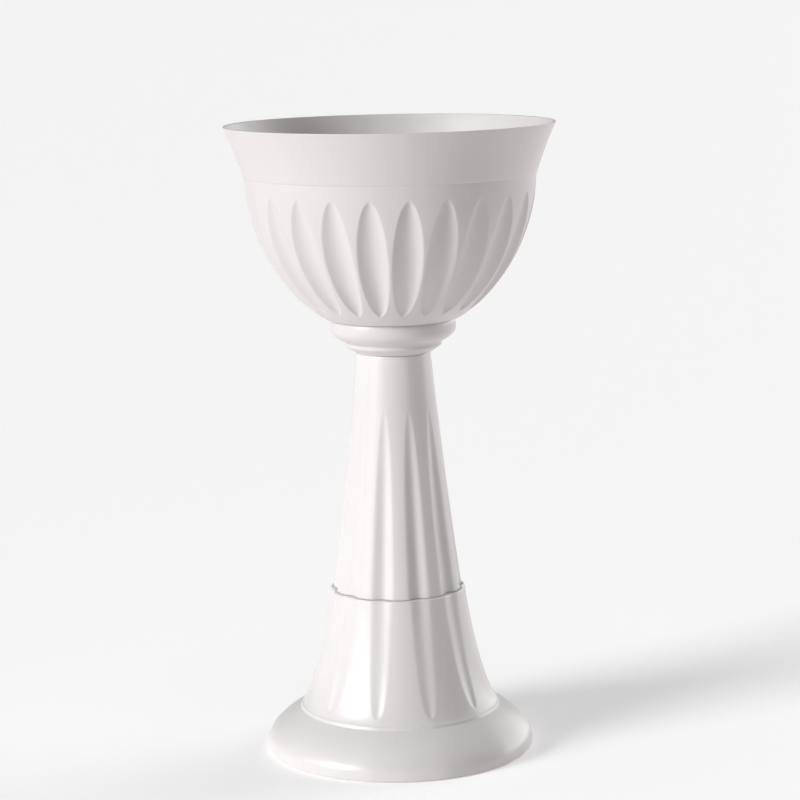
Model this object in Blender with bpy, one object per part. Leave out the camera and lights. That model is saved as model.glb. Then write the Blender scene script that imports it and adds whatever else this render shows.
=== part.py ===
"""Pedestal planter: a fluted bowl standing on a two-part fluted column.

All three pieces are thin moulded shells. The base is a flared bell, open below, with a
flat deck at its top. The shaft stands on that deck, and the bowl's foot stands on the
shaft's own deck. A short round spigot under each upper piece drops through the hole in
the deck below it and centres it. Lengths are in metres and angles in degrees. +Z is up,
-Y is the front, and the origin is the centre of the footprint on the floor.
"""
import math

import bmesh
import bpy

# Walls and fits
WALL = 0.003
REST_GAP = 0.0003
SPIGOT_CLEARANCE = 0.0005
SPIGOT_DEPTH = 0.012
EDGE_ROUND = 0.0012

# Column base, from the floor to the deck that the shaft stands on
BASE_HEIGHT = 0.2008
COLLAR_RADIUS = 0.0832
COLLAR_ROUND = 0.0026
FLARE_RADIUS = 0.1225
FLARE_HEIGHT = 0.0550
FLANGE_STEP = 0.0035
FLANGE_RADIUS = 0.1647
FLANGE_EDGE_HEIGHT = 0.0100
FLANGE_ROUND = 0.0040

# Column shaft
SHAFT_HEIGHT = 0.2930
COLLAR_LEDGE = 0.0038
SHAFT_TOP_RADIUS = 0.0455
SHAFT_WAIST = 0.0018
LOWER_DECK_WIDTH = 0.0170
UPPER_DECK_WIDTH = 0.0100

# Bowl, from its seat on the shaft to its rim
BOWL_HEIGHT = 0.2765
RIM_RADIUS = 0.2000
LIP_HEIGHT = 0.0610
LIP_STEP = 0.0009
LIP_SWEEP = 0.0015
BODY_RADIUS = 0.1763
BODY_CENTRE_RISE = 0.0070
BODY_FOOT_RADIUS = 0.0815
NECK_DEPTH = 0.0016
NECK_HEIGHT = 0.0012
RING_RADIUS = 0.0766
RING_HEIGHT = 0.0283
BAND_RADIUS = 0.0590
BAND_HEIGHT = 0.0040
FOOT_CHAMFER = 0.0085
FOOT_OVERHANG = 0.0010

# Flutes of the bowl
BOWL_FLUTES = 24
BOWL_TURN = -0.6
BOWL_FLUTE_HALF_ANGLE = 6.7
BOWL_FLUTE_DEPTH = 0.0083
BOWL_FLUTE_SOFTNESS = 1.0
BOWL_FLUTE_STATIONS = (-1.0, -0.4, 0.4, 1.0)
BOWL_FLUTE_LOW_MARGIN = 0.0156
BOWL_FLUTE_HIGH_MARGIN = 0.0189
LEAF_FOOT_POWER = 0.32
LEAF_TIP_POWER = 0.52

# Flutes of the column, which run on from the shaft to the base
COLUMN_FLUTES = 11
COLUMN_TURN = 2.4
COLUMN_FLUTE_SOFTNESS = 2.0
COLUMN_FLUTE_STATIONS = (-1.0, -0.5, 0.0, 0.5, 1.0)
SHAFT_FLUTE_HALF_ANGLE = 11.0
SHAFT_FLUTE_DEPTH = 0.0048
SHAFT_FLUTE_TOP_MARGIN = 0.0660
SHAFT_TIP_POWER = 4.0
BASE_FLUTE_HALF_ANGLE = 9.6
BASE_FLUTE_DEPTH = 0.0028
BASE_FLUTE_LOW_MARGIN = 0.0090
BASE_TIP_POWER = 0.30
BASE_FOOT_SHARE = 0.62

# Fineness of the surfaces
CHORD_ERROR = 0.0005
SHARP_EDGE_ANGLE = 35.0

# Glossy white moulded plastic
WHITE = (0.86, 0.85, 0.85)
PLASTIC_ROUGHNESS = 0.32

# Places and sizes that follow from those above
SHAFT_FOOT = BASE_HEIGHT + REST_GAP
SHAFT_TOP = SHAFT_FOOT + SHAFT_HEIGHT
SHAFT_FOOT_RADIUS = COLLAR_RADIUS - COLLAR_LEDGE
SHAFT_SPIGOT_RADIUS = SHAFT_FOOT_RADIUS - LOWER_DECK_WIDTH
BOWL_SEAT = SHAFT_TOP + REST_GAP
BOWL_RIM = BOWL_SEAT + BOWL_HEIGHT
BOWL_FOOT_RADIUS = SHAFT_TOP_RADIUS + FOOT_OVERHANG
BOWL_SPIGOT_RADIUS = SHAFT_TOP_RADIUS - UPPER_DECK_WIDTH
BODY_LOW = BOWL_SEAT + FOOT_CHAMFER + BAND_HEIGHT + RING_HEIGHT + NECK_HEIGHT
BODY_HIGH = BOWL_RIM - LIP_HEIGHT


def remove_everything():
    for old in list(bpy.data.objects):
        bpy.data.objects.remove(old, do_unlink=True)


def bezier(start, pull_start, pull_end, end, steps):
    """Points (radius, height) of a cubic curve, from start to end."""
    points = []
    for step in range(steps + 1):
        t = step / steps
        weights = ((1 - t) ** 3, 3 * (1 - t) ** 2 * t, 3 * (1 - t) * t * t, t ** 3)
        corners = (start, pull_start, pull_end, end)
        radius = sum(weight * corner[0] for weight, corner in zip(weights, corners))
        height = sum(weight * corner[1] for weight, corner in zip(weights, corners))
        points.append((radius, height))
    return points


def even_heights(low, high, steps):
    return [low + (high - low) * step / steps for step in range(steps + 1)]


def crowded_heights(low, high, steps):
    """Heights from low to high, closer together near both ends."""
    shares = [(1 - math.cos(math.pi * step / steps)) / 2 for step in range(steps + 1)]
    return [low + (high - low) * share for share in shares]


def radius_on(outline, height):
    """Radius at a height, on an outline that climbs all the way."""
    for (radius, low), (next_radius, high) in zip(outline, outline[1:]):
        if low <= height <= high and high > low:
            return radius + (next_radius - radius) * (height - low) / (high - low)
    return outline[-1][0]


def inside_of(outline, height):
    """Inner radius at a height, one wall away from every nearby point of the outline."""
    reached = []
    for degrees in range(-90, 91, 10):
        rise = WALL * math.sin(math.radians(degrees))
        run = WALL * math.cos(math.radians(degrees))
        if outline[0][1] <= height + rise <= outline[-1][1]:
            reached.append(radius_on(outline, height + rise) - run)
    return min(reached)


class Flutes:
    """Equal hollows around a piece, pressed in between two heights.

    The laws take the share of the way from low to high. They give the share of the
    full width and of the full depth that a flute has there. The stations are places
    across a flute, from -1 at one edge to 1 at the other. A softness above 1 eases the
    flute's edges into the land beside it.
    """

    def __init__(self, count, turn, stations, softness, mid_land):
        self.count = count
        self.turn = turn
        self.stations = stations
        self.softness = softness
        self.mid_land = mid_land

    def press(self, low, high, half_angle, depth, width_law, depth_law):
        self.low = low
        self.high = high
        self.half_angle = half_angle
        self.depth = depth
        self.width_law = width_law
        self.depth_law = depth_law

    def half_angle_at(self, height):
        """Zero at the tips and beyond them, to a thousandth of a degree."""
        if not self.low <= height <= self.high:
            return 0.0
        share = (height - self.low) / (self.high - self.low)
        return round(self.half_angle * self.width_law(share), 3)

    def ring(self, radius, height):
        """Points (angle, radius, height) with columns on both edges of each flute."""
        half = self.half_angle_at(height)
        share = (height - self.low) / (self.high - self.low)
        depth = self.depth * self.depth_law(share)
        pitch = 360.0 / self.count
        points = []
        for flute in range(self.count):
            if self.mid_land:
                points.append((self.turn + flute * pitch, radius, height))
            for station in self.stations:
                angle = self.turn + (flute + 0.5) * pitch + station * half
                hollow = depth * (1 - station ** 2) ** self.softness
                points.append((angle, radius - hollow, height))
        return points


def leaf(share):
    """Blunt at the low end, pointed at the top and widest over a third of the way up."""
    widest = LEAF_FOOT_POWER / (LEAF_FOOT_POWER + LEAF_TIP_POWER)
    full = widest ** LEAF_FOOT_POWER * (1 - widest) ** LEAF_TIP_POWER
    return share ** LEAF_FOOT_POWER * (1 - share) ** LEAF_TIP_POWER / full


def spear_up(share):
    """Full over most of its length, then closing fast to a round point at the top."""
    return math.sqrt(1 - share ** SHAFT_TIP_POWER)


def sinking(share):
    """Deepest at the low end and running out evenly to nothing at the top."""
    return 1 - share ** 2


def spear_down(share):
    """Full at the top, narrowing to a slim blunt tip at the low end."""
    return share ** BASE_TIP_POWER


def deepening_up(share):
    """Shallow over the flare, and deepest where the flute meets the collar's edge."""
    rise = BASE_FOOT_SHARE + (1 - BASE_FOOT_SHARE) * share ** 3
    return share ** (BASE_TIP_POWER / 2) * rise


def plain_ring(radius, height):
    """A round ring with just enough sides to keep its chords close to the circle."""
    half_side = math.acos(1 - CHORD_ERROR / radius)
    sides = 4 * math.ceil(math.pi / half_side / 4)
    return [(360.0 * side / sides, radius, height) for side in range(sides)]


def ring_at(radius, height, flutes):
    if flutes.half_angle_at(height) > 0:
        return flutes.ring(radius, height)
    return plain_ring(radius, height)


def zip_rings(mesh, first, second):
    """Fill the strip between two rings of (angle, vertex), whatever their counts."""
    first_done = 0
    second_done = 0
    while first_done < len(first) or second_done < len(second):
        here = first[first_done % len(first)][1]
        there = second[second_done % len(second)][1]
        along_first = first[(first_done + 1) % len(first)]
        along_second = second[(second_done + 1) % len(second)]
        if len(first) == len(second):
            mesh.faces.new((here, along_first[1], along_second[1], there))
            first_done += 1
            second_done += 1
            continue
        first_angle = along_first[0] if first_done + 1 < len(first) else 360.0
        second_angle = along_second[0] if second_done + 1 < len(second) else 360.0
        second_is_full = second_done == len(second)
        if first_done < len(first) and (second_is_full or first_angle <= second_angle):
            mesh.faces.new((here, along_first[1], there))
            first_done += 1
        else:
            mesh.faces.new((here, along_second[1], there))
            second_done += 1


def loft(name, rings, meets_axis, collection, material):
    """One solid through a row of rings, up its outside and down its inside.

    Where it meets the axis, both ends of the row are closed by a flat disc. Otherwise
    the row comes back to its first ring.
    """
    mesh = bmesh.new()
    rows = []
    for ring in rings:
        row = []
        for angle, radius, height in ring:
            turn = math.radians(angle)
            place = (radius * math.sin(turn), -radius * math.cos(turn), height)
            row.append((angle, mesh.verts.new(place)))
        rows.append(row)
    for first, second in zip(rows, rows[1:]):
        zip_rings(mesh, first, second)
    if meets_axis:
        for row in (rows[0], rows[-1]):
            mesh.faces.new([vertex for _, vertex in row])
    else:
        zip_rings(mesh, rows[-1], rows[0])
    bmesh.ops.recalc_face_normals(mesh, faces=mesh.faces)
    data = bpy.data.meshes.new(name)
    mesh.to_mesh(data)
    mesh.free()
    data.shade_smooth()
    data.set_sharp_from_angle(angle=math.radians(SHARP_EDGE_ANGLE))
    data.materials.append(material)
    piece = bpy.data.objects.new(name, data)
    collection.objects.link(piece)


def plastic(name):
    material = bpy.data.materials.new(name)
    material.use_nodes = True
    shader = material.node_tree.nodes["Principled BSDF"]
    shader.inputs["Base Color"].default_value = (*WHITE, 1.0)
    shader.inputs["Roughness"].default_value = PLASTIC_ROUGHNESS
    shader.inputs["Metallic"].default_value = 0.0
    return material


def rings_on(outline, flutes):
    return [ring_at(radius, height, flutes) for radius, height in outline]


def rings_inside(outline, heights, flutes):
    return [ring_at(inside_of(outline, height), height, flutes) for height in heights]


def base_outline():
    """The foot flange, a small step and the flared bell, from the floor up."""
    foot_radius = FLANGE_RADIUS - FLANGE_ROUND
    foot = bezier(
        (foot_radius, 0.0), (foot_radius + FLANGE_ROUND * 0.55, 0.0),
        (FLANGE_RADIUS, FLANGE_ROUND * 0.45), (FLANGE_RADIUS, FLANGE_ROUND), 2)
    flange_top = FLARE_HEIGHT - FLANGE_STEP
    shoulder_rise = flange_top - FLANGE_EDGE_HEIGHT
    shoulder_run = FLANGE_RADIUS - FLARE_RADIUS
    shoulder = bezier(
        (FLANGE_RADIUS, FLANGE_EDGE_HEIGHT),
        (FLANGE_RADIUS, FLANGE_EDGE_HEIGHT + shoulder_rise * 0.40),
        (FLARE_RADIUS + shoulder_run * 0.32, flange_top - shoulder_rise * 0.18),
        (FLARE_RADIUS + EDGE_ROUND, flange_top), 5)
    flare_top = BASE_HEIGHT - COLLAR_ROUND
    flare_rise = flare_top - FLARE_HEIGHT
    flare_run = FLARE_RADIUS - COLLAR_RADIUS
    flare = bezier(
        (FLARE_RADIUS, FLARE_HEIGHT),
        (FLARE_RADIUS - flare_run * 0.10, FLARE_HEIGHT + flare_rise * 0.01),
        (COLLAR_RADIUS + flare_run * 0.38, FLARE_HEIGHT + flare_rise * 0.26),
        (COLLAR_RADIUS, flare_top), 7)
    collar = bezier(
        (COLLAR_RADIUS, flare_top), (COLLAR_RADIUS, flare_top + COLLAR_ROUND * 0.55),
        (COLLAR_RADIUS - COLLAR_ROUND * 0.45, BASE_HEIGHT),
        (COLLAR_RADIUS - COLLAR_ROUND, BASE_HEIGHT), 2)
    return foot + shoulder + flare + collar[1:]


def column_flutes():
    """The same round of flutes for both parts of the column, so that they line up."""
    return Flutes(
        COLUMN_FLUTES, COLUMN_TURN, COLUMN_FLUTE_STATIONS, COLUMN_FLUTE_SOFTNESS, True)


def column_base(collection):
    flutes = column_flutes()
    flutes.press(
        FLARE_HEIGHT + BASE_FLUTE_LOW_MARGIN, BASE_HEIGHT,
        BASE_FLUTE_HALF_ANGLE, BASE_FLUTE_DEPTH, spear_down, deepening_up)
    outline = base_outline()
    hole = SHAFT_SPIGOT_RADIUS + SPIGOT_CLEARANCE
    deck = [plain_ring(hole, BASE_HEIGHT), plain_ring(hole, BASE_HEIGHT - WALL)]
    heights = even_heights(BASE_HEIGHT - WALL, FLARE_HEIGHT, 4)
    heights += even_heights(FLARE_HEIGHT - FLANGE_STEP, 0.0, 4)
    rings = rings_on(outline, flutes) + deck + rings_inside(outline, heights, flutes)
    loft("column_base", rings, False, collection, plastic("column_base_plastic"))


def shaft_radius(height):
    """A cone drawn in a little at its waist."""
    share = (height - SHAFT_FOOT) / SHAFT_HEIGHT
    straight = SHAFT_FOOT_RADIUS + (SHAFT_TOP_RADIUS - SHAFT_FOOT_RADIUS) * share
    return straight - SHAFT_WAIST * 4 * share * (1 - share)


def column_shaft(collection):
    flutes = column_flutes()
    flutes.press(
        SHAFT_FOOT, SHAFT_TOP - SHAFT_FLUTE_TOP_MARGIN,
        SHAFT_FLUTE_HALF_ANGLE, SHAFT_FLUTE_DEPTH, spear_up, sinking)
    fluted = crowded_heights(SHAFT_FOOT, flutes.high, 7)
    outline = [(shaft_radius(height), height) for height in fluted]
    for height in even_heights(flutes.high, SHAFT_TOP - EDGE_ROUND, 2)[1:]:
        outline.append((shaft_radius(height), height))
    outline.append((SHAFT_TOP_RADIUS - EDGE_ROUND, SHAFT_TOP))
    spigot_foot = SHAFT_FOOT - SPIGOT_DEPTH
    spigot_inside = SHAFT_SPIGOT_RADIUS - WALL
    hole = BOWL_SPIGOT_RADIUS + SPIGOT_CLEARANCE
    rings = [plain_ring(SHAFT_SPIGOT_RADIUS, height) for height in (spigot_foot, SHAFT_FOOT)]
    rings += rings_on(outline, flutes)
    rings += [plain_ring(hole, height) for height in (SHAFT_TOP, SHAFT_TOP - WALL)]
    heights = [SHAFT_TOP - WALL] + even_heights(flutes.high, SHAFT_FOOT + WALL, 5)
    rings += rings_inside(outline, heights, flutes)
    rings += [plain_ring(spigot_inside, height) for height in (SHAFT_FOOT + WALL, spigot_foot)]
    loft("column_shaft", rings, False, collection, plastic("column_shaft_plastic"))


def body_radius(height):
    """The bowl's side is a quarter of an ellipse, its centre a little above the side."""
    centre = BODY_HIGH + BODY_CENTRE_RISE
    narrowing = math.sqrt(1 - (BODY_FOOT_RADIUS / BODY_RADIUS) ** 2)
    reach = (centre - BODY_LOW) / narrowing
    return BODY_RADIUS * math.sqrt(1 - ((centre - height) / reach) ** 2)


def bowl_outline(flutes):
    """From the seat up: chamfer, band, ring, neck, fluted side, step and flared lip."""
    band_low = BOWL_SEAT + FOOT_CHAMFER
    band_high = band_low + BAND_HEIGHT
    ring_top = band_high + RING_HEIGHT
    ring_middle = band_high + RING_HEIGHT * 0.60
    neck_radius = RING_RADIUS - NECK_DEPTH
    ring_run = RING_RADIUS - BAND_RADIUS
    chamfer = [(BOWL_FOOT_RADIUS, BOWL_SEAT), (BAND_RADIUS - EDGE_ROUND, band_low - EDGE_ROUND)]
    band = [(BAND_RADIUS, band_low), (BAND_RADIUS, band_high)]
    underside = bezier(
        (BAND_RADIUS + EDGE_ROUND, band_high + EDGE_ROUND),
        (BAND_RADIUS + ring_run * 0.60, band_high + RING_HEIGHT * 0.20),
        (RING_RADIUS, band_high + RING_HEIGHT * 0.38),
        (RING_RADIUS, ring_middle), 4)
    shoulder = bezier(
        (RING_RADIUS, ring_middle), (RING_RADIUS, ring_middle + RING_HEIGHT * 0.28),
        (neck_radius + NECK_DEPTH * 0.9, ring_top - EDGE_ROUND), (neck_radius, ring_top), 3)[1:]
    side_heights = [BODY_LOW]
    side_heights += crowded_heights(flutes.low, flutes.high, 8)
    side_heights += [BODY_HIGH]
    side = [(body_radius(height), height) for height in side_heights]
    lip_low = body_radius(BODY_HIGH) + LIP_STEP
    lip_rise = LIP_HEIGHT - LIP_STEP - EDGE_ROUND
    lip_run = RIM_RADIUS - lip_low
    lip_foot = BODY_HIGH + LIP_STEP
    lip = bezier(
        (lip_low, lip_foot),
        (lip_low + lip_run * 0.33 - LIP_SWEEP, lip_foot + lip_rise * 0.33),
        (lip_low + lip_run * 0.67 - LIP_SWEEP, lip_foot + lip_rise * 0.67),
        (RIM_RADIUS, BOWL_RIM - EDGE_ROUND), 4)
    rim = [(RIM_RADIUS - EDGE_ROUND, BOWL_RIM)]
    return chamfer + band + underside + shoulder + side + lip + rim


def bowl(collection):
    flutes = Flutes(
        BOWL_FLUTES, BOWL_TURN, BOWL_FLUTE_STATIONS, BOWL_FLUTE_SOFTNESS, False)
    flutes.press(
        BODY_LOW + BOWL_FLUTE_LOW_MARGIN, BODY_HIGH - BOWL_FLUTE_HIGH_MARGIN,
        BOWL_FLUTE_HALF_ANGLE, BOWL_FLUTE_DEPTH, leaf, leaf)
    outline = bowl_outline(flutes)
    spigot_foot = BOWL_SEAT - SPIGOT_DEPTH
    spigot_inside = BOWL_SPIGOT_RADIUS - WALL
    ledge = BOWL_SEAT + WALL
    rings = [plain_ring(BOWL_SPIGOT_RADIUS, height) for height in (spigot_foot, BOWL_SEAT)]
    rings += rings_on(outline, flutes)
    heights = [BOWL_RIM, BODY_HIGH + LIP_STEP + WALL, BODY_HIGH]
    heights += crowded_heights(flutes.high, flutes.low, 6)
    heights += even_heights(BODY_LOW, ledge, 5)
    rings += rings_inside(outline, heights, flutes)
    rings += [plain_ring(spigot_inside, height) for height in (ledge, spigot_foot + WALL)]
    loft("bowl", rings, True, collection, plastic("bowl_plastic"))


def main():
    remove_everything()
    collection = bpy.data.collections.new("pedestal_planter")
    bpy.context.scene.collection.children.link(collection)
    column_base(collection)
    column_shaft(collection)
    bowl(collection)


main()
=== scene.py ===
# %% [markdown]
# # A pedestal planter, piece by piece
#
# The planter is three hollow mouldings of white plastic that stand on each other: a
# flared base, a slim shaft and a wide bowl. Each is round, so each could be turned from
# one outline with a Screw modifier. The flutes spoil that: they are pressed into the
# round wall, wider here and narrower there, and they show on the inside as well. So
# every piece is built as rows of points, each row a ring at one height, and the flutes
# pull the points of a ring towards the axis.
#
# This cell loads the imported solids. They give the height and width of each piece, and
# the finer sizes are named where they are first needed.

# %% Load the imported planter
import math

import bpy
import numpy as np
from mathutils import Matrix, Vector


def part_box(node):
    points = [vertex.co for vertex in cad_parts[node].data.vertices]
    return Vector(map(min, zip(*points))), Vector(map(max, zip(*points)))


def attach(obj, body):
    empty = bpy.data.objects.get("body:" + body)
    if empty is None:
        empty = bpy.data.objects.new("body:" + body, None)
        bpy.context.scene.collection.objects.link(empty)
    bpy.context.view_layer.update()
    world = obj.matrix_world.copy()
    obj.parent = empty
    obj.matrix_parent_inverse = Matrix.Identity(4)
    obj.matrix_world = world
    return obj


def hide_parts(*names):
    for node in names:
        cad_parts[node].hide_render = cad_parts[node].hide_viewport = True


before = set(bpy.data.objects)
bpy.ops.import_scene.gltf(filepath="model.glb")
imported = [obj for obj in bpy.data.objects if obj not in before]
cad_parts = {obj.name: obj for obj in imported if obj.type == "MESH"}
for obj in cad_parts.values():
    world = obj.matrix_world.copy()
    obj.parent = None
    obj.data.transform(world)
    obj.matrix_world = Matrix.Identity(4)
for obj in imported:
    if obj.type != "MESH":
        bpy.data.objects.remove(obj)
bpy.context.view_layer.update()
base_low, base_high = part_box("column_base")
shaft_low, shaft_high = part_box("column_shaft")
bowl_low, bowl_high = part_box("bowl")
print("solids:", sorted(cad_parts))

# %% [markdown]
# The camera stands where the photograph was taken: almost three metres in front of the
# planter, a little under a metre up, and looking down by about ten degrees. Those
# numbers come from the planter's rings, because a circle at each height shows as an
# ellipse whose flatness gives the angle. A long lens keeps the sides nearly upright. The
# planter leans a little to the left in the picture, so the camera is rolled by a degree.

# %% Camera
LENS = 111.33
SENSOR_WIDTH = 36.0
CAMERA_PLACE = (0.0, -2.982, 0.946)
LOOK_DOWN = math.radians(9.75)
LOOK_RIGHT = math.radians(0.132)
ROLL = math.radians(1.05)

camera_data = bpy.data.cameras.new("photo_camera")
camera_data.lens = LENS
camera_data.sensor_width = SENSOR_WIDTH
camera = bpy.data.objects.new("photo_camera", camera_data)
turn_right = Matrix.Rotation(-LOOK_RIGHT, 4, "Z")
tilt_down = Matrix.Rotation(math.pi / 2 - LOOK_DOWN, 4, "X")
lean = Matrix.Rotation(-ROLL, 4, "Z")
camera.matrix_world = Matrix.Translation(CAMERA_PLACE) @ turn_right @ tilt_down @ lean
bpy.context.scene.collection.objects.link(camera)
bpy.context.scene.camera = camera
print("camera distance:", round(Vector(CAMERA_PLACE).length, 3), "m")

# %% [markdown]
# An outline is a list of points, each a radius and a height, that climbs from the foot
# of a piece to its top. Its long sweeps are cubic curves, which need only four points
# each and stay smooth at any fineness. The ellipse of the bowl's side has its own
# formula, further down.

# %% Curves for the outlines
WALL = 0.003


def sweep(start, pull_start, pull_end, end, steps):
    """Points (radius, height) along a cubic curve."""
    t = np.linspace(0.0, 1.0, steps + 1)[:, None]
    corners = [np.array(corner) for corner in (start, pull_start, pull_end, end)]
    return (
        (1 - t) ** 3 * corners[0] + 3 * (1 - t) ** 2 * t * corners[1]
        + 3 * (1 - t) * t * t * corners[2] + t ** 3 * corners[3])


def stack(*runs):
    """One outline from several runs of points, each above the one before."""
    return np.vstack([np.atleast_2d(np.array(run, float)) for run in runs])


def inner_radii(outline, heights):
    """Radii one wall inside an outline, measured square to it and not just level."""
    reach = []
    for angle in np.radians(np.arange(-90, 91, 6)):
        seen = np.array(heights) + WALL * math.sin(angle)
        radius = np.interp(seen, outline[:, 1], outline[:, 0]) - WALL * math.cos(angle)
        outside = (seen < outline[0, 1]) | (seen > outline[-1, 1])
        reach.append(np.where(outside, np.inf, radius))
    return np.min(reach, axis=0)


print("wall:", WALL * 1000, "mm")

# %% [markdown]
# Real moulded plastic has no knife edges: the tool that cuts the mould leaves a small
# radius, and the plastic shrinks off it. A Bevel modifier could do it on the mesh, where
# each edge runs over hundreds of faces. Here the corners are rounded on the outline
# instead, where each is one point. Then the long runs are cut into short ones.

# %% Round the corners of a path, then space its points
SHARP_TURN = math.radians(16)
CORNER_SHARE = 0.45
ARC_SHARES = (0.0, 0.25, 0.5, 0.75, 1.0)


def rounded(path, reach, closed):
    """Path rows are (radius, height, pressed). Each sharp corner becomes a small arc."""
    result = []
    count = len(path)
    for index, corner in enumerate(path):
        if not closed and index in (0, count - 1):
            result.append(corner)
            continue
        before = path[index - 1][:2] - corner[:2]
        after = path[(index + 1) % count][:2] - corner[:2]
        lengths = np.linalg.norm(before), np.linalg.norm(after)
        cosine = -np.dot(before, after) / (lengths[0] * lengths[1])
        if math.acos(min(1.0, max(-1.0, cosine))) < SHARP_TURN:
            result.append(corner)
            continue
        cut = min(reach, CORNER_SHARE * lengths[0], CORNER_SHARE * lengths[1])
        first = corner[:2] + before / lengths[0] * cut
        last = corner[:2] + after / lengths[1] * cut
        for t in ARC_SHARES:
            point = (1 - t) ** 2 * first + 2 * t * (1 - t) * corner[:2] + t * t * last
            result.append(np.array([point[0], point[1], corner[2]]))
    return np.array(result)


def spaced(path, longest, closed):
    """The same path with no step longer than the given length."""
    result = []
    ends = list(path[1:]) + ([path[0]] if closed else [])
    for here, there in zip(path, ends):
        steps = max(1, math.ceil(np.linalg.norm(there[:2] - here[:2]) / longest))
        for step in range(steps):
            share = step / steps
            result.append(here + (there - here) * share)
    if not closed:
        result.append(path[-1])
    return np.array(result)


def tagged(points, pressed):
    """Points (radius, height) with a third number: 1 where flutes may press, else 0."""
    points = np.atleast_2d(np.array(points, float))
    return np.hstack([points, np.full((len(points), 1), float(pressed))])


print("corners turn sharper than", round(math.degrees(SHARP_TURN)), "degrees")

# %% [markdown]
# A flute is a shallow hollow that runs up the wall. Booleans with a ring of cutters
# would make the outside, but they leave ragged triangles and no matching bulge inside.
# Here a flute is two laws instead. One says how wide it is at each height, the other
# how deep. Across its width the hollow is a parabola. The bowl's flutes have a crisp
# edge with only a hair of rounding, and the column's run out softly into the wall, so
# their parabola is squared.
#
# The columns of the mesh follow the edges of the flutes, so an edge never zigzags from
# one column to the next.

# %% Flutes
LAND_COLUMNS = 2
EDGE_EASE = 0.06
SQUEEZE_LIMIT = 5
LEAST_ANGLE = 1e-5


class Flutes:
    """Equal hollows around a piece, pressed in between two heights."""

    def __init__(self, count, turn, low, high, half_angle, depth, laws, across, soft):
        self.count = count
        self.turn = turn
        self.low = low
        self.high = high
        self.half_angle = half_angle
        self.depth = depth
        self.width_law, self.depth_law = laws
        self.across = across
        self.soft = soft

    def share(self, heights):
        """How far up the flutes each height lies, from 0 to 1."""
        share = (np.asarray(heights) - self.low) / (self.high - self.low)
        return np.clip(share, 0.0, 1.0)

    def half_angles(self, heights):
        """Half the width of a flute at each height, in degrees round the axis."""
        return self.half_angle * self.width_law(self.share(heights))

    def columns(self, heights):
        """Angles of the mesh columns, one row per height, packed along the edges."""
        # Where a flute ends, its columns still spread over a fifth of its full width.
        half = np.hypot(self.half_angles(heights), self.half_angle / SQUEEZE_LIMIT)[:, None]
        pitch = 360.0 / self.count
        inside = np.array(self.across)[None, :] * half
        edge = inside[:, -1:]
        land_steps = np.linspace(0.0, 1.0, LAND_COLUMNS + 2)[None, 1:-1]
        land = edge + (pitch - 2 * edge) * land_steps
        one = np.hstack([inside, land])
        starts = self.turn + pitch * (np.arange(self.count) + 0.5)
        return np.hstack([start + one for start in starts])

    def hollow(self, angles, heights):
        """How far each point is pressed in, for rows of angles at the given heights."""
        pitch = 360.0 / self.count
        off = (angles - self.turn) % pitch - pitch / 2
        half = np.maximum(self.half_angles(heights), LEAST_ANGLE)[:, None]
        rise = 1.0 - (off / half) ** 2
        if self.soft:
            shape = np.clip(rise, 0.0, 1.0) ** 2
        else:
            shape = 0.5 * (rise + np.sqrt(rise ** 2 + EDGE_EASE ** 2))
        return self.depth * self.depth_law(self.share(heights))[:, None] * shape


def across_stations(*right):
    """Stations over a whole flute, mirrored from those right of its middle."""
    return [-value for value in reversed(right)] + [0.0] + list(right)


print("stations run from -1 at one edge of a flute to 1 at the other")

# %% [markdown]
# With the rows and the columns known, a piece is a grid of points. Its faces join each
# row to the next, round the ring and over the rim to the inside, so the wall has a real
# thickness. The inside gets its own material: the outside of a mould is polished and
# its core is not, so the hidden face of such plastic is duller.

# %% Skin a grid of rings into a shell
def shell(name, path, flutes, materials, closed):
    """A moulding from a path that runs up the outside and back down the inside."""
    heights = path[:, 1]
    angles = flutes.columns(heights)
    pressed = flutes.hollow(angles, heights) * path[:, 2:3]
    radii = path[:, 0:1] - pressed
    turns = np.radians(angles)
    points = np.stack(
        [radii * np.sin(turns), -radii * np.cos(turns),
         np.repeat(heights[:, None], angles.shape[1], axis=1)], axis=-1)
    rows, columns = angles.shape
    number = np.arange(rows * columns).reshape(rows, columns)
    beside = np.roll(number, -1, axis=1)
    above = np.roll(number, -1, axis=0) if closed else number[1:]
    above_beside = np.roll(beside, -1, axis=0) if closed else beside[1:]
    strips = rows if closed else rows - 1
    faces = np.stack([number[:strips], beside[:strips], above_beside, above], axis=-1)
    vertices = points.reshape(-1, 3).tolist()
    polygons = faces.reshape(-1, 4).tolist()
    turning_point = int(np.argmax(path[:, 3]))
    finish = [0 if row < turning_point else 1 for row in range(strips) for _ in range(columns)]
    if not closed:
        for row in (0, rows - 1):
            middle = len(vertices)
            vertices.append([0.0, 0.0, float(heights[row])])
            ring = number[row].tolist()
            for here, there in zip(ring, ring[1:] + ring[:1]):
                polygons.append([middle, there, here] if row == 0 else [middle, here, there])
                finish.append(0 if row == 0 else 1)
    data = bpy.data.meshes.new(name)
    data.from_pydata(vertices, [], polygons)
    data.polygons.foreach_set("material_index", finish)
    data.shade_smooth()
    for material in materials:
        data.materials.append(material)
    piece = bpy.data.objects.new(name, data)
    bpy.context.scene.collection.objects.link(piece)
    triangles = sum(len(polygon) - 2 for polygon in polygons)
    print(name, rows, "rows x", columns, "columns,", triangles, "triangles")
    return piece


def moulding_path(outside, inside, reach, longest, closed):
    """Rounded and spaced path. A fourth number marks where its inside begins."""
    both = rounded(np.vstack([outside, inside]), reach, closed)
    path = spaced(both, longest, closed)
    join = inside[0][:2]
    distances = np.linalg.norm(path[:, :2] - join, axis=1)
    mark = np.zeros((len(path), 1))
    mark[int(np.argmin(distances))] = 1.0
    return np.hstack([path, mark])


print("each moulding is one closed shell")

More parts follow.
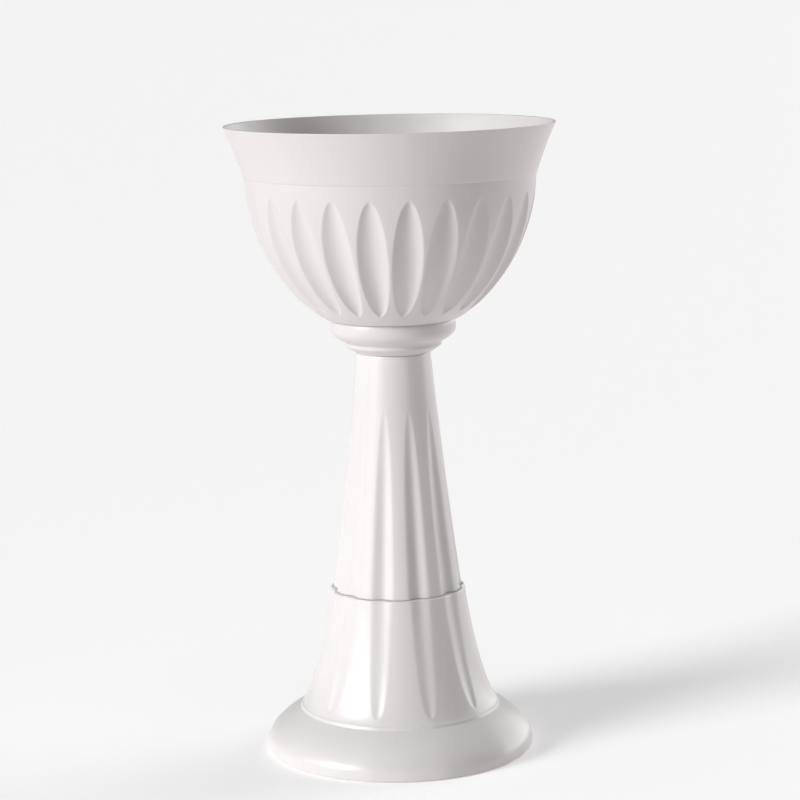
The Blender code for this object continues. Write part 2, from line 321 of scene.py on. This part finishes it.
# %% [markdown]
# White plastic is not one flat colour. Pigment drifts a little in the melt, the skin
# has long shallow waves from the mould and a fine grain like orange peel, dust settles
# on what faces up, and feet and rims pick up fine scuffs. Each of these is needed on
# more than one piece, so each is a node group with named sockets, built once. The
# shader itself stays in each material, where its constants are set.

# %% Helpers that wire node groups
def node_group(name, inputs, outputs):
    """A shader node group. Inputs are (name, kind, value) and outputs (name, kind)."""
    group = bpy.data.node_groups.new(name, "ShaderNodeTree")
    for title, kind, value in inputs:
        socket = group.interface.new_socket(title, in_out="INPUT", socket_type=kind)
        socket.default_value = value
    for title, kind in outputs:
        group.interface.new_socket(title, in_out="OUTPUT", socket_type=kind)
    start = group.nodes.new("NodeGroupInput")
    end = group.nodes.new("NodeGroupOutput")
    return group, start, end


def math_node(tree, operation, first, second):
    """A math node fed by sockets or plain numbers."""
    node = tree.nodes.new("ShaderNodeMath")
    node.operation = operation
    for socket, value in zip(node.inputs, (first, second)):
        if isinstance(value, bpy.types.NodeSocket):
            tree.links.new(value, socket)
        else:
            socket.default_value = value
    return node.outputs[0]


def stretched_noise(tree, scale, stretch, detail):
    """Noise in the piece's own coordinates. Under 1 in stretch draws it out that way."""
    place = tree.nodes.new("ShaderNodeTexCoord")
    mapping = tree.nodes.new("ShaderNodeMapping")
    mapping.inputs["Scale"].default_value = stretch
    noise = tree.nodes.new("ShaderNodeTexNoise")
    noise.inputs["Detail"].default_value = detail
    tree.links.new(place.outputs["Object"], mapping.inputs["Vector"])
    tree.links.new(mapping.outputs["Vector"], noise.inputs["Vector"])
    if isinstance(scale, bpy.types.NodeSocket):
        tree.links.new(scale, noise.inputs["Scale"])
    else:
        noise.inputs["Scale"].default_value = scale
    return noise.outputs["Fac"]


print("group helpers ready")

# %% [markdown]
# The skin of a moulding is felt more than seen. Long waves bend the reflections a
# little, and the fine grain breaks them up. Both are heights, so they go out of the
# group as one number that each material feeds to its Bump node.

# %% Moulded skin: waves and grain as one height
skin, skin_in, skin_out = node_group(
    "moulded_skin",
    [("Wave Size", "NodeSocketFloat", 9.0), ("Wave Height", "NodeSocketFloat", 1.0),
     ("Grain Size", "NodeSocketFloat", 900.0), ("Grain Height", "NodeSocketFloat", 0.1)],
    [("Height", "NodeSocketFloat")])
waves = stretched_noise(skin, skin_in.outputs["Wave Size"], (1.0, 1.0, 0.45), 2.0)
grain = stretched_noise(skin, skin_in.outputs["Grain Size"], (1.0, 1.0, 1.0), 1.0)
wave_part = math_node(skin, "MULTIPLY", waves, skin_in.outputs["Wave Height"])
grain_part = math_node(skin, "MULTIPLY", grain, skin_in.outputs["Grain Height"])
skin.links.new(math_node(skin, "ADD", wave_part, grain_part), skin_out.inputs["Height"])
print("group", skin.name)

# %% [markdown]
# Pigment drift is a slow change between two near whites, drawn out upwards, because the
# plastic flows from a gate in the middle of the piece to its edge. The group takes both
# colours, and puts out the mixed one.

# %% Pigment drift: a colour that wanders between two whites
drift, drift_in, drift_out = node_group(
    "pigment_drift",
    [("Light", "NodeSocketColor", (1.0, 1.0, 1.0, 1.0)),
     ("Dark", "NodeSocketColor", (0.9, 0.9, 0.9, 1.0)),
     ("Size", "NodeSocketFloat", 6.0)],
    [("Color", "NodeSocketColor")])
flow = stretched_noise(drift, drift_in.outputs["Size"], (1.0, 1.0, 0.35), 3.0)
blend = drift.nodes.new("ShaderNodeMix")
blend.data_type = "RGBA"
drift.links.new(flow, blend.inputs[0])
drift.links.new(drift_in.outputs["Light"], blend.inputs[6])
drift.links.new(drift_in.outputs["Dark"], blend.inputs[7])
drift.links.new(blend.outputs[2], drift_out.inputs["Color"])
print("group", drift.name)

# %% [markdown]
# Dust and scuffs share one group, since both are masks. Dust needs a surface that faces
# up, so it reads the normal and fades as the wall steepens. Scuffs are thin level
# scratches that show only in a band of heights, such as the edge of the foot, where the
# planter is turned and dragged over paving.

# %% Use marks: settled dust and scuffs in a band
DUST_STARTS = 0.35
DUST_FULL = 0.95
DUST_SPECKS = 38.0
SCUFF_STARTS = 0.58
SCUFF_FULL = 0.66

marks, marks_in, marks_out = node_group(
    "use_marks",
    [("Band Low", "NodeSocketFloat", 0.0), ("Band High", "NodeSocketFloat", 0.02),
     ("Scuff Size", "NodeSocketFloat", 60.0)],
    [("Dust", "NodeSocketFloat"), ("Scuffs", "NodeSocketFloat")])
surface = marks.nodes.new("ShaderNodeNewGeometry")
facing = marks.nodes.new("ShaderNodeSeparateXYZ")
marks.links.new(surface.outputs["Normal"], facing.inputs["Vector"])
level = marks.nodes.new("ShaderNodeMapRange")
level.interpolation_type = "SMOOTHSTEP"
level.inputs["From Min"].default_value = DUST_STARTS
level.inputs["From Max"].default_value = DUST_FULL
marks.links.new(facing.outputs["Z"], level.inputs["Value"])
specks = stretched_noise(marks, DUST_SPECKS, (1.0, 1.0, 1.0), 6.0)
marks.links.new(math_node(marks, "MULTIPLY", level.outputs[0], specks), marks_out.inputs["Dust"])
spot = marks.nodes.new("ShaderNodeTexCoord")
height = marks.nodes.new("ShaderNodeSeparateXYZ")
marks.links.new(spot.outputs["Object"], height.inputs["Vector"])
above = math_node(marks, "GREATER_THAN", height.outputs["Z"], marks_in.outputs["Band Low"])
below = math_node(marks, "LESS_THAN", height.outputs["Z"], marks_in.outputs["Band High"])
scratches = stretched_noise(marks, marks_in.outputs["Scuff Size"], (1.0, 1.0, 7.0), 5.0)
thin = marks.nodes.new("ShaderNodeMapRange")
thin.inputs["From Min"].default_value = SCUFF_STARTS
thin.inputs["From Max"].default_value = SCUFF_FULL
marks.links.new(scratches, thin.inputs["Value"])
in_band = math_node(marks, "MULTIPLY", above, below)
marks.links.new(math_node(marks, "MULTIPLY", in_band, thin.outputs[0]), marks_out.inputs["Scuffs"])
print("group", marks.name)

# %% [markdown]
# The plastic itself is a Principled shader: a pale, faintly warm white with a satin
# gloss. The bowl's whites are a shade deeper and pinker than the column's: partly a
# tone of its own, partly painted shade that darkens the bowl and its flutes.
# The outside of a piece copies a polished mould. The inside copies the core, which is
# left matt, so it has a stronger grain and less gloss. Dust and scuffs only add to the
# roughness, and what is the same all over stays on the shader's sockets.

# %% Plastic finishes
COLUMN_WHITES = (0.710, 0.696, 0.690, 1.0), (0.684, 0.668, 0.664, 1.0)
# The bowl's two whites are darker and pinker than the column's, partly as painted shade.
BOWL_WHITES_WITH_PAINTED_SHADE = (0.656, 0.634, 0.631, 1.0), (0.630, 0.606, 0.605, 1.0)
PLASTIC_IOR = 1.49
DUST_DULLS = 0.25
SCUFFS_DULL = 0.22
RELIEF_HEIGHT = 0.001
POLISHED_GRAIN = 0.02
MATT_GRAIN = 0.06
FOOT_EDGE = (-0.001, 0.016)
FOOT_INSIDE = (-0.001, 0.006)
JOINT_EDGE = (0.200, 0.205)
SHAFT_SPIGOT = (0.185, 0.200)
RIM_EDGE = (0.764, 0.772)


def plastic(name, whites, roughness, wave, grain_height, band):
    """A satin plastic. Roughness is the shader's own, band the heights that get scuffed."""
    material = bpy.data.materials.new(name)
    material.use_nodes = True
    tree = material.node_tree
    shader = tree.nodes["Principled BSDF"]
    shader.inputs["IOR"].default_value = PLASTIC_IOR
    colour = tree.nodes.new("ShaderNodeGroup")
    colour.node_tree = drift
    colour.inputs["Light"].default_value = whites[0]
    colour.inputs["Dark"].default_value = whites[1]
    use = tree.nodes.new("ShaderNodeGroup")
    use.node_tree = marks
    use.inputs["Band Low"].default_value = band[0]
    use.inputs["Band High"].default_value = band[1]
    tree.links.new(colour.outputs["Color"], shader.inputs["Base Color"])
    dusty = math_node(tree, "MULTIPLY", use.outputs["Dust"], DUST_DULLS)
    scuffed = math_node(tree, "MULTIPLY", use.outputs["Scuffs"], SCUFFS_DULL)
    worn = math_node(tree, "ADD", dusty, scuffed)
    tree.links.new(math_node(tree, "ADD", worn, roughness), shader.inputs["Roughness"])
    relief = tree.nodes.new("ShaderNodeGroup")
    relief.node_tree = skin
    relief.inputs["Wave Height"].default_value = wave
    relief.inputs["Grain Height"].default_value = grain_height
    bump = tree.nodes.new("ShaderNodeBump")
    bump.inputs["Strength"].default_value = 1.0
    bump.inputs["Distance"].default_value = RELIEF_HEIGHT
    tree.links.new(relief.outputs["Height"], bump.inputs["Height"])
    tree.links.new(bump.outputs["Normal"], shader.inputs["Normal"])
    return material


base_outside = plastic("base_plastic_outside", COLUMN_WHITES, 0.30, 1.0, POLISHED_GRAIN, FOOT_EDGE)
base_inside = plastic("base_plastic_inside", COLUMN_WHITES, 0.48, 1.0, MATT_GRAIN, FOOT_INSIDE)
shaft_outside = plastic("shaft_plastic_outside", COLUMN_WHITES, 0.28, 0.8, POLISHED_GRAIN, JOINT_EDGE)
shaft_inside = plastic("shaft_plastic_inside", COLUMN_WHITES, 0.48, 1.0, MATT_GRAIN, SHAFT_SPIGOT)
# Both bowl finishes take the deeper whites, which carry painted shade.
bowl_outside = plastic("bowl_plastic_outside", BOWL_WHITES_WITH_PAINTED_SHADE, 0.30, 1.0, POLISHED_GRAIN, RIM_EDGE)
bowl_inside = plastic("bowl_plastic_inside", BOWL_WHITES_WITH_PAINTED_SHADE, 0.46, 1.0, MATT_GRAIN, RIM_EDGE)
print("finishes:", [material.name for material in bpy.data.materials if "_plastic_" in material.name])

# %% [markdown]
# The base carries everything, so it is wide: a round foot flange with a rolled edge, a
# small step, and a flared bell that narrows to a collar. It could be turned with a
# Screw modifier, but its eleven flutes run from the collar nearly to the step, wide and
# soft above, slim and crisp below. The shaft's flutes stand right over them.

# %% Column base
SPIGOT_CLEARANCE = 0.0005
EDGE_ROUND = 0.0009
COLLAR_RADIUS = 0.0832
DECK_HOLE = 0.0624 + SPIGOT_CLEARANCE
FLANGE_RADIUS = float(base_high.x)
base_top = float(base_high.z)
foot_edge = 0.0040
flange_shoulder = 0.0100
flange_top = 0.0515
flare_low = 0.0550
flare_radius = 0.1225
step_width = 0.0012
flange_bore_top = 0.050
base_row_gap = 0.0040
shoulder_rise = flange_top - flange_shoulder
shoulder_run = FLANGE_RADIUS - flare_radius
collar_round = 0.0026
flare_top = base_top - collar_round
flare_rise = flare_top - flare_low
flare_run = flare_radius - COLLAR_RADIUS

base_outline = stack(
    sweep((FLANGE_RADIUS - foot_edge, 0.0), (FLANGE_RADIUS - foot_edge * 0.45, 0.0),
          (FLANGE_RADIUS, foot_edge * 0.45), (FLANGE_RADIUS, foot_edge), 6),
    sweep((FLANGE_RADIUS, flange_shoulder),
          (FLANGE_RADIUS, flange_shoulder + shoulder_rise * 0.40),
          (flare_radius + shoulder_run * 0.32, flange_top - shoulder_rise * 0.18),
          (flare_radius + step_width, flange_top), 22),
    sweep((flare_radius, flare_low), (flare_radius - flare_run * 0.10, flare_low + flare_rise * 0.01),
          (COLLAR_RADIUS + flare_run * 0.38, flare_low + flare_rise * 0.26),
          (COLLAR_RADIUS, flare_top), 60),
    sweep((COLLAR_RADIUS, flare_top), (COLLAR_RADIUS, flare_top + collar_round * 0.55),
          (COLLAR_RADIUS - collar_round * 0.45, base_top),
          (COLLAR_RADIUS - collar_round, base_top), 8)[1:])
print("base outline:", len(base_outline), "points")

COLUMN_FLUTES = 11
BASE_FOOT_SHARE = 0.62
BASE_FLUTE_HALF_ANGLE = 9.6
BASE_FLUTE_DEPTH = 0.0028
BASE_FLUTE_MARGIN = 0.009


def base_width(share):
    """Nothing at the lower end, then soon wide, and widest at the collar."""
    return share ** 0.30


def base_depth(share):
    """Under two thirds of the full depth low down, and full at the collar."""
    return share ** 0.15 * (BASE_FOOT_SHARE + (1 - BASE_FOOT_SHARE) * share ** 3)


SOFT_STATIONS = across_stations(0.12, 0.25, 0.38, 0.5, 0.62, 0.75, 0.88, 1.0)
COLUMN_TURN = 2.4
base_flutes = Flutes(
    COLUMN_FLUTES, COLUMN_TURN, flare_low + BASE_FLUTE_MARGIN, base_top,
    BASE_FLUTE_HALF_ANGLE, BASE_FLUTE_DEPTH, (base_width, base_depth), SOFT_STATIONS, True)
base_heights = np.concatenate(
    [np.linspace(base_top - WALL, flare_low, 40), np.linspace(flange_bore_top, 0.0, 14)])
base_bore = np.stack([inner_radii(base_outline, base_heights), base_heights], axis=1)
base_deck = np.array([[DECK_HOLE, base_top], [DECK_HOLE, base_top - WALL]])
base_path = moulding_path(
    tagged(base_outline, 1), np.vstack([tagged(base_deck, 0), tagged(base_bore, 1)]),
    EDGE_ROUND, base_row_gap, True)
column_base = shell(
    "column_base_moulding", base_path, base_flutes, [base_outside, base_inside], True)
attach(column_base, "root")
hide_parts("column_base")

# %% [markdown]
# The shaft is a cone, drawn in a little at its waist, that stands on the deck of the
# base. A ledge a few millimetres wide shows all round the joint, and a short spigot,
# which no one sees, drops through the deck to keep the two in line. Its flutes start in
# a rounded point below the top and run down full width to the joint.

# %% Column shaft
shaft_top = float(shaft_high.z)
spigot_foot = float(shaft_low.z)
SPIGOT_LENGTH = 0.012
LEDGE_WIDTH = 0.0038
WAIST_DEPTH = 0.0018
SHAFT_FLUTE_HALF_ANGLE = 11.0
SHAFT_FLUTE_DEPTH = 0.0048
SHAFT_FLUTE_MARGIN = 0.066
shaft_row_gap = 0.0042
shaft_foot = spigot_foot + SPIGOT_LENGTH
shaft_foot_radius = COLLAR_RADIUS - LEDGE_WIDTH
SHAFT_TOP_RADIUS = 0.0455
SPIGOT_RADIUS = DECK_HOLE - SPIGOT_CLEARANCE
SHAFT_BORE = 0.0355 + SPIGOT_CLEARANCE

shaft_heights = np.linspace(shaft_foot, shaft_top, 76)
climb = (shaft_heights - shaft_foot) / (shaft_top - shaft_foot)
waist = WAIST_DEPTH * 4 * climb * (1 - climb)
shaft_radii = shaft_foot_radius + (SHAFT_TOP_RADIUS - shaft_foot_radius) * climb - waist
shaft_outline = np.stack([shaft_radii, shaft_heights], axis=1)


def shaft_width(share):
    """Full at the joint, nearly full for half the way, then a round point."""
    return np.sqrt(1 - share ** 4)


def shaft_depth(share):
    """Deepest at the joint, and nothing at the point."""
    return 1 - share ** 2


shaft_flutes = Flutes(
    COLUMN_FLUTES, COLUMN_TURN, shaft_foot, shaft_top - SHAFT_FLUTE_MARGIN,
    SHAFT_FLUTE_HALF_ANGLE, SHAFT_FLUTE_DEPTH, (shaft_width, shaft_depth), SOFT_STATIONS, True)
bore_heights = np.linspace(shaft_top - WALL, shaft_foot + WALL, 60)
shaft_bore = np.stack([inner_radii(shaft_outline, bore_heights), bore_heights], axis=1)
shaft_start = [
    [SPIGOT_RADIUS - WALL, spigot_foot], [SPIGOT_RADIUS, spigot_foot], [SPIGOT_RADIUS, shaft_foot]]
shaft_deck = [[SHAFT_BORE, shaft_top], [SHAFT_BORE, shaft_top - WALL]]
shaft_path = moulding_path(
    np.vstack([tagged(shaft_start, 0), tagged(shaft_outline, 1)]),
    np.vstack([tagged(shaft_deck, 0), tagged(shaft_bore, 1),
               tagged([SPIGOT_RADIUS - WALL, shaft_foot + WALL], 0)]),
    EDGE_ROUND, shaft_row_gap, True)
column_shaft = shell(
    "column_shaft_moulding", shaft_path, shaft_flutes, [shaft_outside, shaft_inside], True)
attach(column_shaft, "root")
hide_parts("column_shaft")

# %% [markdown]
# The bowl is the part that people see. From below it has a chamfer that sits on the
# shaft, a narrow band, a swelling ring, a neck, then the fluted side, a hair of a step,
# and the plain flared lip. The side follows an ellipse. Its twenty-four flutes are
# shaped like leaves: blunt at the foot, widest below the middle, and pointed at the top.
# They show as ribs on the inside, as they do in any thin moulding.

# %% Bowl
rim_radius = float(bowl_high.x)
bowl_rim = float(bowl_high.z)
bowl_spigot_foot = float(bowl_low.z)
bowl_seat = bowl_spigot_foot + SPIGOT_LENGTH
BOWL_SPIGOT = SHAFT_BORE - SPIGOT_CLEARANCE
BAND_RADIUS = 0.0590
RING_RADIUS = 0.0766
NECK_DEPTH = 0.0016
NECK_HEIGHT = 0.0012
NECK_RADIUS = RING_RADIUS - NECK_DEPTH
BODY_RADIUS = 0.1763
BODY_FOOT_RADIUS = 0.0815
BODY_CENTRE_RISE = 0.0070
LIP_HEIGHT = 0.0610
LIP_STEP = 0.0009
LIP_HOLLOW = 0.0015
SEAT_LEDGE = 0.0010
CHAMFER_HEIGHT = 0.0085
BAND_HEIGHT = 0.0040
RING_STEP = 0.0012
RING_BULGE = 0.0002
band_low = bowl_seat + CHAMFER_HEIGHT
band_high = band_low + BAND_HEIGHT
ring_height = 0.0283
ring_middle = band_high + ring_height * 0.60
ring_top = band_high + ring_height
body_low = ring_top + NECK_HEIGHT
body_high = bowl_rim - LIP_HEIGHT


def body_radius(heights):
    """Radius of the bowl's side, on an ellipse centred just above it."""
    centre = body_high + BODY_CENTRE_RISE
    reach = (centre - body_low) / math.sqrt(1 - (BODY_FOOT_RADIUS / BODY_RADIUS) ** 2)
    return BODY_RADIUS * np.sqrt(1 - ((centre - heights) / reach) ** 2)


ring_run = RING_RADIUS - BAND_RADIUS
side_heights = np.linspace(body_low, body_high, 64)
lip_low = float(body_radius(body_high)) + LIP_STEP
lip_foot = body_high + LIP_STEP
lip_rise = bowl_rim - lip_foot
lip_run = rim_radius - lip_low
bowl_outline = stack(
    [SHAFT_TOP_RADIUS + SEAT_LEDGE, bowl_seat], [BAND_RADIUS, band_low], [BAND_RADIUS, band_high],
    sweep((BAND_RADIUS + RING_STEP, band_high + RING_STEP),
          (BAND_RADIUS + ring_run * 0.60, band_high + ring_height * 0.20),
          (RING_RADIUS, band_high + ring_height * 0.38), (RING_RADIUS, ring_middle), 10),
    sweep((RING_RADIUS, ring_middle), (RING_RADIUS + RING_BULGE, ring_middle + ring_height * 0.28),
          (RING_RADIUS - RING_BULGE, ring_top - RING_STEP), (NECK_RADIUS, ring_top), 8)[1:],
    np.stack([body_radius(side_heights), side_heights], axis=1),
    sweep((lip_low, lip_foot), (lip_low + lip_run * 0.33 - LIP_HOLLOW, lip_foot + lip_rise * 0.33),
          (lip_low + lip_run * 0.67 - LIP_HOLLOW, lip_foot + lip_rise * 0.67),
          (rim_radius, bowl_rim), 12))
print("bowl outline:", len(bowl_outline), "points")


LEAF_FOOT_POWER = 0.32
LEAF_TIP_POWER = 0.52


def leaf(share):
    """Blunt at the foot, pointed at the top, widest over a third of the way up."""
    widest = LEAF_FOOT_POWER / (LEAF_FOOT_POWER + LEAF_TIP_POWER)
    full = widest ** LEAF_FOOT_POWER * (1 - widest) ** LEAF_TIP_POWER
    return share ** LEAF_FOOT_POWER * (1 - share) ** LEAF_TIP_POWER / full


BOWL_FLUTES = 24
BOWL_TURN = -0.6
BOWL_FLUTE_HALF_ANGLE = 6.7
BOWL_FLUTE_DEPTH = 0.0083
BOWL_FLUTE_LOW_MARGIN = 0.0156
BOWL_FLUTE_HIGH_MARGIN = 0.0189
CRISP_STATIONS = across_stations(0.30, 0.58, 0.80, 0.93, 1.0, 1.06)
bowl_flutes = Flutes(
    BOWL_FLUTES, BOWL_TURN, body_low + BOWL_FLUTE_LOW_MARGIN, body_high - BOWL_FLUTE_HIGH_MARGIN,
    BOWL_FLUTE_HALF_ANGLE, BOWL_FLUTE_DEPTH, (leaf, leaf), CRISP_STATIONS, False)
well_floor = bowl_spigot_foot + WALL
floor_centre = 0.004
lip_inside = 0.0039
bowl_edge_round = 0.0010
bowl_row_gap = 0.0065
inside_heights = np.concatenate(
    [[bowl_rim], np.linspace(body_high + lip_inside, bowl_seat + WALL, 40)])
bowl_inside_wall = np.stack([inner_radii(bowl_outline, inside_heights), inside_heights], axis=1)
well = [
    [BOWL_SPIGOT - WALL, bowl_seat + WALL], [BOWL_SPIGOT - WALL, well_floor],
    [floor_centre, well_floor]]
spigot = [
    [floor_centre, bowl_spigot_foot], [BOWL_SPIGOT, bowl_spigot_foot], [BOWL_SPIGOT, bowl_seat]]
bowl_path = moulding_path(
    np.vstack([tagged(spigot, 0), tagged(bowl_outline, 1)]),
    np.vstack([tagged(bowl_inside_wall, 1), tagged(well, 0)]),
    bowl_edge_round, bowl_row_gap, False)
bowl = shell("bowl_moulding", bowl_path, bowl_flutes, [bowl_outside, bowl_inside], False)
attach(bowl, "root")
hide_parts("bowl")

# %% [markdown]
# The floor is one wide pale disc with a matt finish, so the planter stands on something
# from every side. A photographer lights a white floor a second time. Here the floor
# glows a little instead, by two amounts that Light Path tells apart. The camera sees one
# of them. The planter gets the other, weaker and a little warm, which lifts its shaded
# sides.

# %% Floor
FLOOR_RADIUS = 300.0
FLOOR_WHITE = (0.93, 0.93, 0.93, 1.0)
SEEN_GLOW = (0.20, 0.20, 0.20, 1.0)
GIVEN_GLOW = (0.165, 0.130, 0.128, 1.0)
FLOOR_ROUGHNESS = 0.9
FLOOR_SPECULAR = 0.1

floor_material = bpy.data.materials.new("studio_floor")
floor_material.use_nodes = True
floor_tree = floor_material.node_tree
floor_shader = floor_tree.nodes["Principled BSDF"]
floor_shader.inputs["Roughness"].default_value = FLOOR_ROUGHNESS
floor_shader.inputs["Specular IOR Level"].default_value = FLOOR_SPECULAR
floor_shader.inputs["Base Color"].default_value = FLOOR_WHITE
floor_shader.inputs["Emission Strength"].default_value = 1.0
floor_paths = floor_tree.nodes.new("ShaderNodeLightPath")
floor_glow = floor_tree.nodes.new("ShaderNodeMix")
floor_glow.data_type = "RGBA"
floor_glow.inputs[6].default_value = GIVEN_GLOW
floor_glow.inputs[7].default_value = SEEN_GLOW
floor_tree.links.new(floor_paths.outputs["Is Camera Ray"], floor_glow.inputs[0])
floor_tree.links.new(floor_glow.outputs[2], floor_shader.inputs["Emission Color"])

bpy.ops.mesh.primitive_circle_add(vertices=96, radius=FLOOR_RADIUS, fill_type="NGON")
floor = bpy.context.object
floor.name = "studio_floor"
floor.data.materials.append(floor_material)
print("floor radius:", FLOOR_RADIUS, "m")

# %% [markdown]
# The light is a studio's: one broad source from the left, a wider and weaker one from
# behind on the right that lifts the far edge, and a faint one from above that reaches
# into the bowl. Broad suns are used because they light the floor evenly wherever a
# camera looks, which area lamps would not. The surround is pale to the camera and dim,
# slightly warm, to the planter.

# %% Light
def broad_sun(name, side, height, strength, width):
    """A sun that shines from an angle to the right of the front and a height."""
    data = bpy.data.lights.new(name, "SUN")
    data.energy = strength
    data.angle = math.radians(width)
    sun = bpy.data.objects.new(name, data)
    turn, lift = math.radians(side), math.radians(height)
    towards = Vector(
        (math.sin(turn) * math.cos(lift), -math.cos(turn) * math.cos(lift), math.sin(lift)))
    sun.rotation_euler = towards.to_track_quat("Z", "Y").to_euler()
    bpy.context.scene.collection.objects.link(sun)
    return sun


SURROUND_TINT = (1.0, 0.94, 0.93, 1.0)
SURROUND_STRENGTH = 0.06
BACKDROP_GREY = (0.89, 0.89, 0.89, 1.0)

broad_sun("key_light", -58.0, 18.0, 3.05, 24.0)
broad_sun("edge_light", 126.0, 10.0, 2.7, 60.0)
broad_sun("top_light", -30.0, 82.0, 0.7, 50.0)

world = bpy.data.worlds.new("pale_studio")
world.use_nodes = True
world_tree = world.node_tree
surround = world_tree.nodes["Background"]
surround.inputs["Color"].default_value = SURROUND_TINT
surround.inputs["Strength"].default_value = SURROUND_STRENGTH
backdrop = world_tree.nodes.new("ShaderNodeBackground")
backdrop.inputs["Color"].default_value = BACKDROP_GREY
paths = world_tree.nodes.new("ShaderNodeLightPath")
either = world_tree.nodes.new("ShaderNodeMixShader")
world_tree.links.new(paths.outputs["Is Camera Ray"], either.inputs["Fac"])
world_tree.links.new(surround.outputs[0], either.inputs[1])
world_tree.links.new(backdrop.outputs[0], either.inputs[2])
world_tree.links.new(either.outputs[0], world_tree.nodes["World Output"].inputs["Surface"])
bpy.context.scene.world = world
bpy.context.scene.view_settings.view_transform = "Standard"
print("lights:", [light.name for light in bpy.data.lights])
